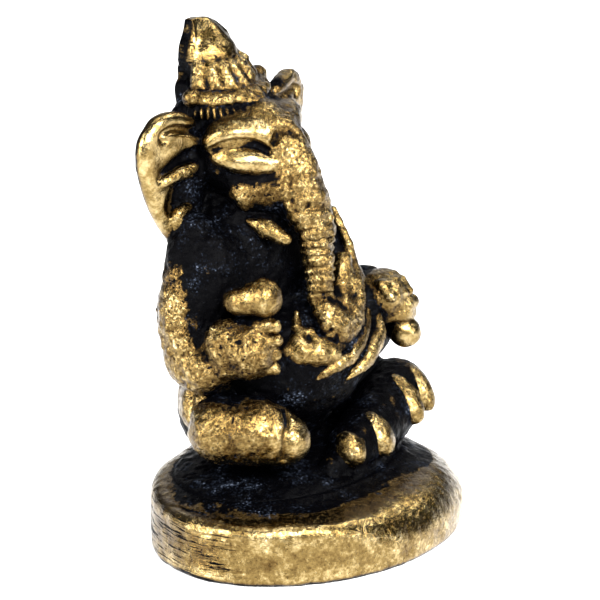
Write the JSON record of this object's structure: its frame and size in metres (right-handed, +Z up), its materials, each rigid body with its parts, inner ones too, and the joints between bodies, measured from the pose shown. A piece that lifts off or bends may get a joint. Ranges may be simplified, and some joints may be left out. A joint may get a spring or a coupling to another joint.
{
  "type": "hindu deity statue",
  "caption": "Miniature seated elephant-headed deity cast in brass with black patina in the recesses, on a thick oval plinth; it stands free on its flat underside.",
  "frame": {"origin": "centre of the plinth's flat underside", "axes": "+Z up through the crown; the figure faces -Y; +X points to the figure's own left hand"},
  "size_m": [0.0294, 0.023, 0.042],
  "materials": {
    "polished_brass": "aged brass rubbed bright on the high spots, with black patina left in the pits and grooves",
    "dark_patina": "glossy blue-black patina over the same brass, in the deep recesses"
  },
  "bodies": {
    "root": {"belly": "dark_patina", "chest": "dark_patina", "crown_band": "polished_brass", "crown_cone": "polished_brass", "crown_drum": "polished_brass", "head": "polished_brass", "hips": "dark_patina", "left_brow": "polished_brass", "left_ear": "polished_brass", "left_ear_lower_ridge": "polished_brass", "left_ear_upper_ridge": "polished_brass", "left_eye": "polished_brass", "left_foot": "dark_patina", "left_forearm": "polished_brass", "left_hand": "polished_brass", "left_index_finger": "polished_brass", "left_leg_pleat_1": "polished_brass", "left_leg_pleat_2": "polished_brass", "left_leg_pleat_3": "polished_brass", "left_leg_pleat_4": "polished_brass", "left_little_finger": "polished_brass", "left_rosette": "polished_brass", "left_shin": "dark_patina", "left_thigh": "dark_patina", "left_tusk": "polished_brass", "left_upper_arm": "polished_brass", "muzzle": "polished_brass", "plinth": "polished_brass", "right_anklet": "polished_brass", "right_brow": "polished_brass", "right_ear": "polished_brass", "right_ear_lower_ridge": "polished_brass", "right_ear_upper_ridge": "polished_brass", "right_eye": "polished_brass", "right_finger_1": "polished_brass", "right_finger_2": "polished_brass", "right_finger_3": "polished_brass", "right_finger_4": "polished_brass", "right_foot": "polished_brass", "right_forearm": "polished_brass", "right_palm": "polished_brass", "right_rosette": "polished_brass", "right_shin": "polished_brass", "right_thigh": "polished_brass", "right_thumb": "polished_brass", "right_tusk": "polished_brass", "right_upper_arm": "polished_brass", "sash_fold_lower": "polished_brass", "sash_fold_middle": "polished_brass", "sash_fold_upper": "polished_brass", "seat_mound": "dark_patina", "sweet": "polished_brass", "thread": "polished_brass", "trunk": "polished_brass", "trunk_curl": "polished_brass"}
  },
  "joints": []
}
